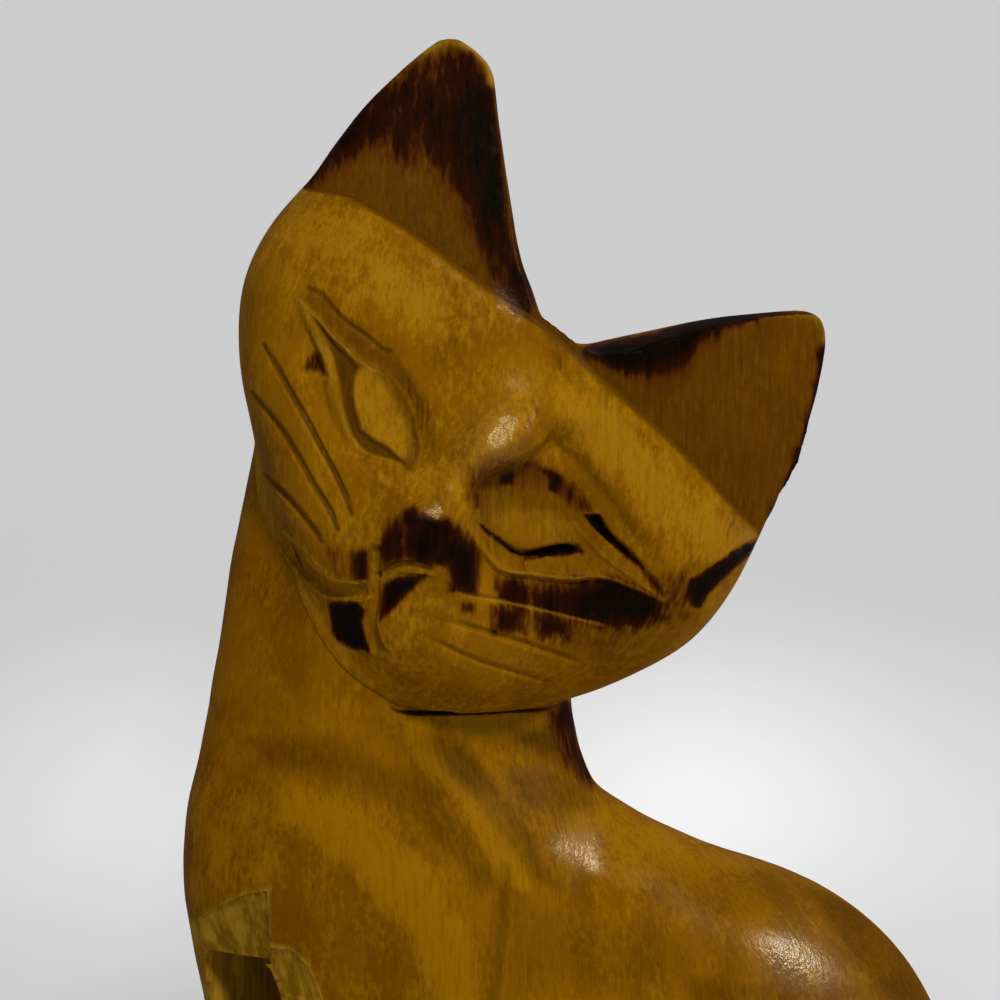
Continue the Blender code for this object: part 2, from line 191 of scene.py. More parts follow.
def smoothPath(points, steps=5):               # a curve through given points
    p = np.array([points[0], *points, points[-1]], float)
    run = []
    for a, b, c, d in zip(p, p[1:], p[2:], p[3:]):
        for f in np.arange(steps) / steps:
            run.append(b + 0.5 * f * (c - a + f * (2 * a - 5 * b + 4 * c - d + f * (3 * (b - c) + d - a))))
    return np.array([*run, p[-2]])


def along(spots, path, reach):
    # distance to a path, share of its length where it is nearest, and side of it, looked up within reach
    near = np.full(len(spots), 1e9)
    share = np.zeros(len(spots))
    side = np.zeros(len(spots))
    chosen = np.all((spots > path.min(0) - reach) & (spots < path.max(0) + reach), axis=1)
    close = spots[chosen]
    best = np.full(len(close), 1e9)
    place = np.zeros(len(close))
    hand = np.zeros(len(close))
    legs = np.linalg.norm(np.diff(path, axis=0), axis=1)
    done = 0.0
    for a, b, leg in zip(path, path[1:], legs):
        way = (b - a) / max(leg, 1e-9)
        run = np.clip((close - a) @ way, 0, leg)
        off = close - a - run[:, None] * way
        gap = np.linalg.norm(off, axis=1)
        closer = gap < best
        best[closer] = gap[closer]
        place[closer] = (done + run[closer]) / legs.sum()
        if spots.shape[1] == 2:
            hand[closer] = np.sign(way[0] * off[closer, 1] - way[1] * off[closer, 0])
        done += leg
    near[chosen], share[chosen], side[chosen] = best, place, hand
    return near, share, side


def inside(spots, outline, soft):
    # 1 inside a closed outline, falling to 0 over a soft edge centred on it
    shape = np.array([*outline, outline[0]], float)
    near = along(spots, shape, soft)[0]
    x, y = spots.T
    within = np.zeros(len(spots), bool)
    for (ax, ay), (bx, by) in zip(shape, shape[1:]):
        crosses = (ay > y) != (by > y)
        within ^= crosses & (x < (bx - ax) * (y - ay) / (by - ay + 1e-12) + ax)
    return ease((np.where(within, near, -near) + soft / 2) / soft)


def ease(value):                               # a soft step from 0 to 1
    value = np.clip(value, 0, 1)
    return value * value * (3 - 2 * value)


def hill(spots, middle, wide, tall, angle=0):  # a soft oval hill, 1 at its middle
    c, s = cos(radians(angle)), sin(radians(angle))
    x, y = (spots - middle).T
    return np.exp(-((x * c + y * s) / wide) ** 2 - ((y * c - x * s) / tall) ** 2)


def tapered(share, start=0.15, end=0.15):      # fades a stroke out at its ends
    return ease(share / start) * ease((1 - share) / end)


def loft(name, rings):                         # a closed skin over rings of equal counts
    count = len(rings[0])
    faces = [list(range(count))[::-1], [len(rings) * count - count + k for k in range(count)]]
    for row in range(len(rings) - 1):
        for k in range(count):
            n = (k + 1) % count
            low = row * count
            faces.append([low + k, low + n, low + count + n, low + count + k])
    mesh = bpy.data.meshes.new(name)
    mesh.from_pydata([tuple(point) for ring in rings for point in ring], [], faces)
    piece = bpy.data.objects.new(name, mesh)
    bpy.context.scene.collection.objects.link(piece)
    select(piece)
    bpy.ops.object.mode_set(mode="EDIT")
    bpy.ops.mesh.select_all(action="SELECT")
    bpy.ops.mesh.normals_make_consistent(inside=False)
    bpy.ops.object.mode_set(mode="OBJECT")
    return piece


# The joint between the blocks: a slanted saw cut, with the top of the neck let into the head
joint = {
    "middle": Vector((0, -33, 111.2)) * mm, "slant": radians(45), "letIn": 5 * mm, "play": 0.15 * mm,
    "neckMiddle": -34.5 * mm, "power": 3.0,
    "sections": [                              # height, half width, chest side and nape side of the neck
        (85.0, 20.0, 26.2, 27.2), (111.2, 19.6, 20.96, 26.46),
        (131.2, 18.0, 15.7, 26.7), (160.0, 17.0, 13, 26),
    ],
}
cutNormal = Vector((sin(joint["slant"]), 0, cos(joint["slant"])))


def neckPost(grow):                            # the top of the neck, up to its seat in the head
    heights, *sizes = np.array(joint["sections"]).T * mm
    rings = []
    for z in np.linspace(heights[0], heights[-1], 24):
        half, front, back = (np.interp(z, heights, size) + grow for size in sizes)
        ring = []
        for angle in np.linspace(0, 2 * pi, 96, endpoint=False):
            x, y = (abs(part) ** (2 / joint["power"]) * np.sign(part) for part in (cos(angle), sin(angle)))
            ring.append((half * x, joint["neckMiddle"] + (back if y > 0 else front) * y, z))
        rings.append(ring)
    post = loft("neckPost", rings)
    bpy.ops.object.mode_set(mode="EDIT")
    bpy.ops.mesh.select_all(action="SELECT")
    bpy.ops.mesh.bisect(plane_co=joint["middle"] + cutNormal * (joint["letIn"] + grow), plane_no=cutNormal,
                        use_fill=True, clear_outer=True)
    bpy.ops.object.mode_set(mode="OBJECT")
    return post


# Head
head = {
    "middle": Vector((14.8, -24.2, 131.6)) * mm, "turn": radians(50), "tilt": radians(38.5),
    "grain": 0.86 * mm, "browBlock": 4 * mm,
    "ledge": [                                 # across the face and up, in mm in the head's own frame
        (-60, 6.5), (-43.4, 8.9), (-38.5, 12.0), (-29.7, 13.6), (-16.9, 14.2), (-7.7, 15.0), (-0.2, 14.8),
        (6.4, 14.3), (18.6, 13.6), (25.3, 12.65), (30.4, 11.8), (37.7, 10.6), (60, 8.0),
    ],
    "earTop": 56 * mm, "earFront": 10.8 * mm, "earSweep": 9.5 * mm, "earLean": 3.0 * mm,
    "earRoot": 15 * mm, "earHeight": 25.4 * mm, "cheek": 44.2 * mm, "earDeeper": 0.25 * mm,
    "earKink": (337, 129),                     # the pixel of a bend in an ear's edge that is evened out
    "edgeOff": 0.34, "edgeWide": 1.7 * mm, "ledgeWide": 2.5 * mm,   # how the brow edge is rubbed down, in mm
    "planes": [                                # flats on the nose: pixel, tilt, depth and reach in mm
        (496, 433, (0.074, 0.317, 0.945), 0.25, 8.5), (432, 509, (0.074, 0.317, 0.945), 0.15, 2.4),
    ],
}
headFrame = (
    Matrix.Translation(head["middle"]) @ Matrix.Rotation(head["turn"], 4, "Z")
    @ Matrix.Rotation(head["tilt"], 4, "Y"))
headAxes = np.array(headFrame)[:3, :3]


def inHead(points):                            # x to the viewer's right, -y out of the face, z up
    return (points - np.array(head["middle"])) @ headAxes


def ledgeHeight(x):
    across, up = np.array(head["ledge"]).T * mm
    return np.interp(x, across, up)


def earPlane(x, z):                            # how far forward the cut fronts of the ears lie
    out = np.minimum(np.abs(x) / head["cheek"], 1.2)
    lean = head["earLean"] * (z - head["earRoot"]) / head["earHeight"]
    return head["earFront"] - head["earSweep"] * out ** 1.6 - lean - head["earDeeper"]


def earCutter():                               # the wood in front of the ears, down to the brow ledge
    bpy.ops.mesh.primitive_cube_add(size=2)
    cutter = bpy.context.object
    bpy.ops.object.mode_set(mode="EDIT")
    bpy.ops.mesh.select_all(action="SELECT")
    bpy.ops.mesh.subdivide(number_cuts=47)
    bpy.ops.object.mode_set(mode="OBJECT")
    across, deep, up = (pointsOf(cutter).T + 1) / 2
    x = (across - 0.5) * 100 * mm
    low = ledgeHeight(x)
    z = low + (head["earTop"] - low) * up
    back = -earPlane(x, z)
    y = -60 * mm + (back + 60 * mm) * deep
    movePoints(cutter, np.column_stack((x, y, z)) @ headAxes.T + np.array(head["middle"]))
    return cutter


def carve(piece, faceIn, forms):
    # moves the skin in or out along its normals by the sum of the forms, in mm
    points = pointsOf(piece)
    normals = normalsOf(piece)
    spots = onPicture(points)
    seen = ease((normals @ np.array(toCamera)) / 0.2) * faceIn(points)
    rise = sum(form(spots) for form in forms)
    movePoints(piece, points + normals * (rise * seen * mm)[:, None])


def groove(points, half, depth, start=0.15, end=0.15, sharp=1.0):   # a stroke of the gouge
    path = smoothPath(points)

    def form(spots):
        near, share, _ = along(spots, path, half)
        return -depth * np.clip(1 - near / half, 0, 1) ** sharp * tapered(share, start, end)
    return form


def ridge(points, half, height, start=0.1, end=0.1):
    path = smoothPath(points)

    def form(spots):
        near, share, _ = along(spots, path, half)
        return height * ease(1 - near / half) * tapered(share, start, end)
    return form


def channel(points, half, depth, burr):        # a flat cut with raised burrs along its two edges
    path = smoothPath(points)

    def form(spots):
        near, share, _ = along(spots, path, half + 6)
        cut = -depth * ease((half + 1.5 - near) / 3.5)
        return (cut + burr * np.exp(-((near - half - 2) / 1.6) ** 2)) * tapered(share, 0.08, 0.1)
    return form


def scarp(points, side, wide, depth, crisp=2.0, start=0.15, end=0.15):
    # a cut that drops at the path and rises again slowly on one side of it
    path = smoothPath(points)

    def form(spots):
        near, share, hand = along(spots, path, wide)
        slope = np.minimum(ease(near / crisp), ease((wide - near) / (wide - crisp)))
        return -depth * np.where(hand == side, slope, 0) * tapered(share, start, end)
    return form


def patch(outline, soft, rise):                # an area raised or sunk with a soft edge
    return lambda spots: rise * inside(spots, outline, soft)


def chisel(piece, corners, reach=14):          # takes out a picture outline, to a depth in mm at each corner
    rings = [[], []]
    for x, y, depth, castX, castY in corners:  # the depth counts from the skin that shows at the cast spot
        edge = rayThrough(x, y)
        struck, spot, _, _ = piece.ray_cast(cameraPlace, rayThrough(castX, castY))
        away = (spot - cameraPlace).dot(-toCamera) if struck else camera["distance"]
        for ring, shift in zip(rings, (depth, -reach)):
            ring.append(cameraPlace + edge * (away + shift * mm) / edge.dot(-toCamera))
    carveAway(piece, loft("chiselCut", rings))


def plane(piece, x, y, tilt, depth, reach, soft=0.35 * mm):
    # planes the skin flat around a pixel; the tilt is to the right, up and to the camera
    bpy.context.view_layer.update()
    spot = piece.ray_cast(cameraPlace, rayThrough(x, y))[1]
    way = (sideways * tilt[0] + upward * tilt[1] + toCamera * tilt[2]).normalized()
    points = pointsOf(piece)
    off = points - np.array(spot)
    proud = off @ np.array(way) + depth * mm
    proud = (proud + np.sqrt(proud * proud + soft ** 2)) / 2
    proud *= ease((reach * mm - np.linalg.norm(off, axis=1)) / (0.5 * reach * mm))
    movePoints(piece, points - np.outer(proud, np.array(way)))
    print(piece.name + ": planed, mm off at most", round(proud.max() / mm, 2))


def score(piece, paths, half, depth):          # grooves along paths in space, in mm
    points = pointsOf(piece)
    normals = normalsOf(piece)
    sunk = np.zeros(len(points))
    for path in paths:
        near, share, _ = along(points / mm, smoothPath(path), half)
        sunk = np.maximum(sunk, ease(1 - near / half) * tapered(share, 0.12, 0.12))
    movePoints(piece, points - normals * (sunk * depth * mm)[:, None])


def mound(middle, wide, tall, angle, rise):
    return lambda spots: rise * hill(spots, middle, wide, tall, angle)


# The face, drawn on the picture in pixels, with depths in mm
leftEye = {
    "crease": [(309, 288), (321, 294), (331, 306), (342, 318), (358, 330), (369, 338), (382, 349),
               (391, 351)],
    "scoop": [(309, 288), (321, 294), (331, 306), (342, 318), (358, 330), (382, 349), (397, 353), (405, 367),
              (414, 382), (426, 398), (429, 416), (425, 439), (414, 460)],
    "upperLid": [(299, 299), (310, 311), (320, 321), (331, 335), (345, 348), (356, 359), (369, 368),
                 (382, 374), (396, 391), (405, 408), (412, 428), (414, 450), (408, 465)],
    "lowerLid": [(299, 299), (307, 316), (314, 333), (321, 348), (328, 364), (332, 384), (335, 400),
                 (342, 416), (349, 434), (358, 446), (370, 454), (390, 462), (406, 467)],
    "valley": [(315, 321), (331, 339), (345, 353), (353, 362), (358, 368), (353, 379), (352, 394), (355, 412),
               (361, 430), (374, 440), (387, 447), (405, 464), (390, 459), (370, 453), (360, 446), (350, 430),
               (344, 409), (341, 394), (338, 376), (334, 358), (326, 339)],
    "cheekSide": [(305, 318), (315, 340), (324, 366), (329, 396), (336, 418), (346, 440)],
    "pit": [(316, 351), (326, 376), (318, 373), (299, 373), (304, 361)],
    "leaf": [(361, 366), (380, 374), (396, 391), (407, 411), (412, 429), (413, 451), (407, 464), (386, 446),
             (372, 439), (361, 429), (355, 412), (352, 394), (355, 379)],
    "hatch": [[(415, 394), (414, 420), (416, 444)], [(421, 396), (418, 424), (419, 440)],
              [(427, 400), (424, 420), (420, 436)], [(408, 376), (406, 392), (409, 404)]],
}
rightEye = {
    "hollow": [(462, 502), (466, 484), (486, 466), (512, 460), (538, 462), (560, 476), (578, 500), (596, 528),
               (622, 562), (660, 596), (632, 585), (604, 578), (575, 577), (545, 574), (516, 570), (498, 562),
               (480, 546), (468, 528)],
    "leaf": [(477, 512), (486, 500), (500, 491), (523, 486), (542, 484), (556, 495), (570, 514), (584, 537),
             (577, 546), (566, 543), (556, 544), (542, 547), (527, 550), (514, 547), (500, 540), (490, 532),
             (480, 523)],
    "gap": [(481, 525), (490, 534), (500, 541), (514, 551), (528, 555), (542, 553), (556, 550), (572, 549),
            (584, 551)],
    "lowerLid": [(469, 500), (470, 514), (472, 528), (480, 544), (489, 556), (499, 567), (510, 572),
                 (530, 574), (550, 577), (575, 579), (594, 577), (610, 579), (632, 587), (663, 600)],
    "upperLid": [(574, 522), (588, 540), (611, 562), (636, 580), (662, 599)],
    "crease": [(588, 518), (599, 524), (610, 538), (626, 552), (641, 567), (657, 586)],
}
nose = {
    "bridge": [(540, 394), (510, 426), (482, 458), (456, 488), (434, 510)],
    "steepSide": [(554, 412), (548, 432), (532, 448), (508, 458), (486, 472), (470, 490), (460, 508)],
    "tip": [(378, 550), (390, 532), (402, 519), (415, 513), (430, 515), (444, 521), (458, 529)],
}
leftWhiskers = [
    [(264, 344), (278, 370), (292, 396), (308, 424), (323, 452), (338, 480), (352, 514)],
    [(252, 392), (277, 424), (296, 454), (312, 483), (326, 505), (338, 529)],
    [(265, 474), (280, 490), (293, 504), (308, 523), (322, 541)],
]
rightWhiskers = [
    [(450, 594), (480, 598), (510, 603), (550, 612), (602, 625)],
    [(437, 618), (470, 627), (510, 639), (550, 652), (587, 665)],
    [(425, 635), (450, 648), (476, 660), (512, 671), (553, 682)],
]
mouth = [
    [(374, 543), (375, 561), (374, 581), (374, 597), (371, 614), (372, 628), (377, 644), (384, 656)],
    [(372, 588), (358, 592), (344, 592), (328, 588), (312, 574), (297, 556), (285, 540), (281, 534)],
    [(376, 580), (388, 570), (398, 566), (412, 566), (426, 568), (438, 569)],
]
browLine = [(528, 398), (560, 430), (592, 464), (620, 500), (650, 540), (678, 576)]
browEnd = [(760, 541), (748, 546), (737, 552), (722, 564), (706, 575), (694, 582)]
faceForms = [
    ridge(nose["bridge"], 44, 1.2, 0.3, 0.15),
    mound((506, 452), 36, 36, 0, 1.05),
    mound((536, 500), 60, 34, 35, -0.7),
    scarp(nose["steepSide"], -1, 70, 1.5, 14, 0.2, 0.3),
    scarp(nose["tip"], 1, 60, 1.2, 14, 0.2, 0.2),
    ridge(nose["tip"][2:6], 13, 0.75, 0.2, 0.2),
    groove([(530, 398), (535, 408), (537, 420)], 3, 0.4, 0.3, 0.3),
    scarp(browLine, 1, 70, 0.9, 12, 0.2, 0.3),
    mound((410, 640), 46, 30, 20, 0.5),
    groove(leftEye["crease"], 3.5, 0.35, 0.2, 0.1),
    scarp(leftEye["upperLid"][1:], -1, 24, 0.75, 4, 0.2, 0.15),
    scarp(leftEye["upperLid"][7:], -1, 30, 0.6, 5, 0.3, 0.15),
    *(groove(path, 2.5, 0.3, 0.3, 0.3) for path in leftEye["hatch"]),
    patch(leftEye["valley"], 6, -0.85),
    mound((384, 418), 20, 44, 24, 0.3),
    ridge(leftEye["lowerLid"], 8, 0.3, 0.05, 0.1),
    ridge(leftEye["upperLid"][:7], 4, 0.2, 0.05, 0.1),
    scarp(leftEye["cheekSide"], 1, 34, 0.5, 6, 0.15, 0.3),
    patch(leftEye["pit"], 9, -0.8),
    patch(rightEye["hollow"], 38, -1.0),
    patch(rightEye["leaf"], 24, 0.7),
    groove(rightEye["gap"], 4.5, 1.2, 0.5, 0.1),
    groove(rightEye["gap"][3:], 6, 1.0, 0.4, 0.1),
    groove(rightEye["crease"], 6, 1.5, 0.15, 0.5),
    ridge(rightEye["upperLid"], 6, 0.3, 0.2, 0.05),
    ridge(rightEye["lowerLid"], 6, 0.25, 0.3, 0.05),
    scarp(rightEye["lowerLid"], 1, 46, 0.9, 5, 0.35, 0.1),
    groove(browEnd, 4.5, 0.9, 0.05, 0.5, 0.8),
    *(groove(path, 4.5, 0.75, 0.2, 0.12) for path in leftWhiskers),
    *(groove(path, 4.5, 0.5, 0.2, 0.2) for path in rightWhiskers),
    channel(mouth[0], 5.5, 0.8, 0.2),
    channel(mouth[1], 7.5, 0.9, 0.2),
    channel(mouth[2], 4, 0.7, 0.2),
    groove([(332, 603), (350, 604), (362, 608)], 5, 0.7, 0.2, 0.2),
]
strokes = [
    *leftWhiskers, *rightWhiskers, *mouth, browEnd, leftEye["crease"], leftEye["upperLid"],
    leftEye["lowerLid"], leftEye["valley"], *leftEye["hatch"], rightEye["leaf"], rightEye["gap"],
    rightEye["lowerLid"], rightEye["upperLid"], rightEye["crease"],
]


def frontOfFace(points):                       # 1 on the dome of the face, 0 on the ledge and the ears
    x, _, z = inHead(points).T
    return ease((ledgeHeight(x) - z) / (0.6 * mm))


def nearStroke(spots):                         # how near the picture's strokes a spot is, in pixels
    near = np.full(len(spots), 1e9)
    for path in strokes:
        near = np.minimum(near, along(spots, np.array(path, float), 12)[0])
    return near


# Burns, drawn on the picture: outline, width of its soft edge, strength
earBurns = [
    ([(290, 190), (322, 168), (345, 154), (368, 148), (384, 152), (400, 168), (416, 168), (435, 174),
      (456, 190), (468, 214), (482, 244), (495, 265), (504, 280), (524, 316), (540, 312), (530, 262),
      (520, 190), (520, 130), (512, 80), (500, 50), (468, 30), (440, 24), (410, 44), (374, 76), (344, 106),
      (310, 150)], 56, 0.56),
    ([(462, 190), (478, 215), (500, 270), (520, 318), (540, 262), (525, 170), (522, 80), (496, 50), (470, 90),
      (458, 130)], 40, 0.8),
    ([(300, 186), (330, 140), (372, 92), (408, 56), (412, 84), (388, 120), (360, 152), (326, 176)], 30, 0.6),
    ([(420, 90), (452, 80), (470, 120), (462, 190), (444, 150), (426, 130)], 40, 0.3),
    ([(575, 350), (605, 343), (649, 336), (678, 326), (718, 315), (758, 306), (758, 322), (728, 327),
      (702, 338), (690, 348), (676, 362), (664, 372), (647, 370), (625, 371), (605, 362),
      (590, 357)], 18, 0.95),
    ([(600, 350), (700, 326), (716, 340), (690, 376), (668, 394), (640, 390), (610, 374)], 36, 0.36),
    ([(830, 336), (820, 347), (817, 379), (809, 412), (800, 448), (783, 487), (766, 524), (776, 532),
      (801, 490), (816, 448), (828, 412), (834, 379)], 10, 1.0),
]
faceBurns = [
    ([(762, 540), (746, 545), (731, 554), (716, 565), (702, 574), (690, 580), (688, 596), (692, 606),
      (700, 606), (706, 596), (716, 584), (732, 570), (748, 555)], 9, 0.95),
    ([(655, 570), (694, 570), (696, 620), (664, 634)], 40, 0.3),
    ([(512, 584), (555, 584), (590, 583), (613, 582), (630, 588), (646, 596), (663, 604), (659, 614),
      (643, 620), (628, 625), (610, 626), (598, 620), (573, 614), (548, 609), (524, 603)], 28, 0.46),
    ([(574, 594), (596, 588), (616, 583), (634, 590), (662, 604), (657, 616), (630, 624), (604, 622),
      (584, 612)], 32, 0.85),
    ([(540, 602), (570, 602), (600, 596), (608, 610), (600, 620), (573, 613), (546, 609)], 22, 0.6),
    ([(500, 578), (516, 582), (521, 591), (518, 603), (502, 600), (498, 589)], 20, 0.74),
    ([(494, 608), (508, 611), (520, 611), (517, 628), (505, 626), (494, 629)], 22, 0.62),
    ([(458, 601), (477, 603), (475, 614), (461, 611)], 15, 0.5),
    ([(538, 618), (552, 618), (568, 623), (566, 635), (551, 632), (541, 636)], 22, 0.62),
    ([(500, 628), (560, 636), (640, 626), (650, 640), (600, 652), (540, 648)], 24, 0.16),
    ([(494, 588), (600, 582), (622, 626), (570, 640), (494, 634)], 40, 0.2),
    ([(378, 549), (386, 535), (392, 521), (404, 510), (415, 508), (424, 514), (436, 519), (451, 521),
      (460, 528), (469, 543), (476, 557), (475, 591), (451, 591), (450, 566), (434, 567), (425, 564),
      (412, 560), (396, 561), (384, 565)], 22, 0.72),
    ([(412, 540), (431, 540), (431, 562), (413, 561)], 16, 0.6),
    ([(453, 546), (475, 548), (475, 591), (453, 591)], 20, 0.76),
    ([(326, 546), (367, 546), (366, 581), (340, 581), (327, 570)], 20, 0.28),
    ([(354, 554), (367, 552), (367, 580), (355, 580)], 12, 0.5),
    ([(330, 604), (356, 604), (363, 611), (361, 621), (365, 635), (368, 650), (351, 647), (337, 640),
      (331, 632)], 12, 1.0),
    ([(385, 585), (396, 580), (413, 576), (425, 575), (420, 583), (406, 594), (396, 604), (387, 613),
      (380, 620), (382, 598)], 14, 0.92),
    ([(584, 515), (600, 514), (606, 528), (614, 538), (611, 543), (600, 534), (591, 525)], 5, 1.0),
    ([(606, 530), (624, 546), (638, 560), (642, 568), (632, 562), (618, 550), (606, 538)], 6, 0.7),
    ([(640, 562), (656, 580), (662, 592), (652, 586), (642, 572)], 8, 0.4),
    ([(540, 549), (556, 545), (568, 544), (574, 549), (572, 554), (556, 556), (540, 556)], 5, 1.0),
    ([(525, 550), (542, 549), (542, 557), (525, 560)], 6, 0.6),
    ([(572, 547), (584, 549), (584, 554), (572, 554)], 5, 0.6),
    ([(478, 522), (490, 531), (500, 538), (514, 549), (524, 556), (512, 553), (498, 543),
      (484, 531)], 5, 0.5),
    ([(499, 474), (514, 473), (513, 484), (500, 484)], 8, 0.55),
    ([(538, 468), (552, 470), (560, 478), (556, 492), (549, 490), (550, 480)], 8, 0.6),
    ([(475, 494), (480, 494), (479, 508), (475, 508)], 6, 0.45),
    ([(556, 474), (580, 486), (594, 512), (576, 514), (560, 496)], 16, 0.42),
    ([(466, 474), (480, 462), (510, 456), (540, 458), (554, 468), (520, 472), (490, 476), (474, 492),
      (466, 500)], 16, 0.26),
    ([(315, 350), (323, 352), (327, 377), (319, 374), (302, 371), (305, 361)], 10, 0.42),
    ([(552, 350), (566, 350), (566, 372), (552, 372)], 16, 0.2),
    ([(470, 500), (480, 476), (500, 466), (494, 500), (500, 524), (520, 546), (560, 556), (600, 562),
      (656, 594), (630, 604), (560, 592), (500, 584), (474, 552)], 24, 0.17),
    ([(500, 474), (540, 468), (566, 480), (590, 508), (560, 498), (530, 490), (504, 492)], 18, 0.2),
]
bodyBurns = [
    ([(548, 712), (566, 704), (576, 716), (588, 744), (600, 778), (590, 788), (572, 776),
      (556, 750)], 24, 0.52),
    ([(556, 700), (580, 702), (576, 720), (558, 728)], 10, 0.3),
    ([(248, 980), (228, 970), (226, 984), (244, 988)], 8, 0.5),
]
# Places that are rubbed glossy: pixel, half width, half height, turn, share
facePolish = [
    ((494, 436), 24, 31, 35, 0.85), ((433, 508), 14, 9, -35, 0.85), ((508, 306), 7, 17, -25, 0.9),
    ((590, 358), 7, 5, 0, 0.5), ((736, 528), 26, 7, 40, 0.12), ((392, 262), 60, 34, 38, 0.04),
]
bodyPolish = [((579, 852), 21, 21, 0, 0.95), ((790, 961), 34, 30, 0, 0.95)]
leftScoop = leftEye["scoop"] + leftEye["upperLid"][::-1]
creaseShades = [                               # painted shade in creases, grooves and below the brow and the nose bridge: path, half width, strength
    (leftEye["crease"], 7, 0.7), (leftEye["upperLid"][7:], 15, 0.6), (rightEye["crease"], 9, 0.6),
    (rightEye["gap"], 5, 0.7),
    ([(474, 508), (484, 486), (512, 474), (548, 476), (578, 504)], 22, 0.45),
    *((path, 4, 0.45) for path in leftEye["hatch"]), *((path, 5, 0.8) for path in leftWhiskers),
    *((path, 4, 0.4) for path in rightWhiskers), (browEnd, 7, 0.6), (leftEye["cheekSide"], 9, 0.3),
    ([(548, 410), (580, 448), (616, 494), (648, 540)], 14, 0.35),
    ([(470, 470), (500, 458), (530, 444)], 18, 0.5),
    (mouth[1], 5, 0.3),
    ([(497, 512), (520, 499), (545, 504), (560, 522)], 5, 0.25),
]
shadedHollows = [                                    # painted shade over sunken places and over sides of the face turned from the light: outline, soft edge, strength
    (leftScoop, 9, 0.42), (leftEye["valley"], 5, 0.8), (rightEye["hollow"], 16, 0.35),
    ([(480, 640), (560, 640), (620, 640), (600, 668), (520, 668)], 30, 0.3),
    ([(560, 590), (690, 600), (700, 640), (640, 668), (560, 650)], 50, 0.35),
    ([(250, 440), (300, 430), (330, 540), (300, 560), (262, 510)], 50, 0.2),
    ([(468, 496), (480, 474), (506, 462), (540, 464), (564, 480), (580, 504), (560, 494), (545, 486),
      (516, 484), (492, 492), (476, 510)], 22, 0.6),
    ([(478, 502), (500, 488), (540, 484), (560, 498), (574, 518), (540, 512), (510, 506),
      (484, 518)], 20, 0.4),
]
freshAndLitEdges = [                                   # fresh-cut wood in the mouth and whisker cuts, and painted light and glints on lids, ear rims, the jaw's edge and small folds: path, half width, strength
    (mouth[0], 8, 0.4), (mouth[1], 10, 0.3), (mouth[2], 7, 0.4), (leftEye["upperLid"][:8], 5, 0.45),
    (leftEye["lowerLid"][:9], 7, 0.5), (rightEye["lowerLid"][4:], 4, 0.5), (rightEye["upperLid"], 4, 0.45),
    (rightWhiskers[0], 4, 0.6),
    ([(283, 531), (297, 545), (309, 561), (323, 575), (334, 582), (348, 586), (365, 582)], 4, 0.6),
    ([(424, 52), (438, 43), (452, 40), (466, 44), (478, 52), (488, 66), (493, 84)], 12, 0.85),
    ([(490, 76), (497, 110), (503, 160), (510, 220), (518, 270)], 7, 0.55),
    ([(376, 110), (398, 78), (420, 54), (440, 42)], 12, 0.5),
    ([(786, 310), (808, 311), (822, 322), (826, 342)], 13, 0.55),
    ([(252, 460), (266, 500), (276, 534), (290, 572), (312, 608), (334, 640), (352, 664),
      (380, 692)], 16, 0.4),
    ([(414, 640), (440, 656), (470, 672)], 5, 0.3),
    ([(404, 660), (430, 676), (452, 684)], 4, 0.3),
    ([(345, 454), (358, 456), (372, 462)], 4, 0.4),
]
litAndGoldenWood = [                                 # painted light on the raised brow band, forehead, eye leaves and cheek beside the nose, with goldener wood there: outline, soft edge, strength
    ([(560, 380), (600, 398), (650, 446), (700, 496), (750, 540), (728, 560), (690, 560), (640, 510),
      (590, 450), (552, 410)], 34, 0.6),
    ([(290, 200), (350, 205), (430, 262), (470, 300), (440, 340), (380, 310), (310, 270),
      (262, 270)], 60, 0.4),
    (leftEye["leaf"], 8, 0.35), (rightEye["leaf"], 20, 0.2),
    ([(380, 480), (430, 470), (470, 440), (500, 400), (530, 410), (500, 450), (450, 490),
      (400, 510)], 26, 0.3),
]


def facing(piece, turned=0.0):                 # 1 where the skin looks at the camera
    return ease((normalsOf(piece) @ np.array(toCamera) + 0.02 + turned) / 0.15)


def paintOutlines(piece, burns):               # burns that overlap darken each other
    spots = onPicture(pointsOf(piece))
    clear = np.ones(len(spots))
    for outline, soft, strength in burns:
        clear *= 1 - strength * inside(spots, outline, soft)
    return (1 - clear) * facing(piece)


def paintPaths(piece, paths):
    spots = onPicture(pointsOf(piece))
    mask = np.zeros(len(spots))
    for path, half, strength in paths:
        mask = np.maximum(mask, strength * ease(1 - along(spots, smoothPath(path), half)[0] / half))
    return mask * facing(piece, 0.3)


def polish(piece, places):
    spots = onPicture(pointsOf(piece))
    return sum(share * hill(spots, *place) for *place, share in places) * facing(piece)


def rubBrowEdge(piece):                        # rubs the sharp brow edge down unevenly
    points = pointsOf(piece)
    x, y, z = inHead(points).T
    below = ledgeHeight(x) - z
    before = y < -earPlane(x, z) - 0.5 * mm
    column = np.round((x - x.min()) / (0.5 * mm)).astype(int)
    edge = np.full(column.max() + 1, np.inf)   # the foremost spot in each column of the ledge
    onLedge = before & (abs(below) < 0.3 * mm)
    np.minimum.at(edge, column[onLedge], y[onLedge])
    rim = ease(1 - below / head["edgeWide"]) * (below > -0.02 * mm) * before
    rim = rim * ease(1 - (y - edge[column]) / head["ledgeWide"])
    x = x / mm
    nicks = head["edgeOff"] + 0.10 * np.sin(x * 1.9) + 0.12 * np.sin(x * 4.7 + 1) * np.sin(x * 0.6)
    movePoints(piece, points - (headAxes @ [0, -0.6, 0.8])[None] * (rim * nicks * mm)[:, None])


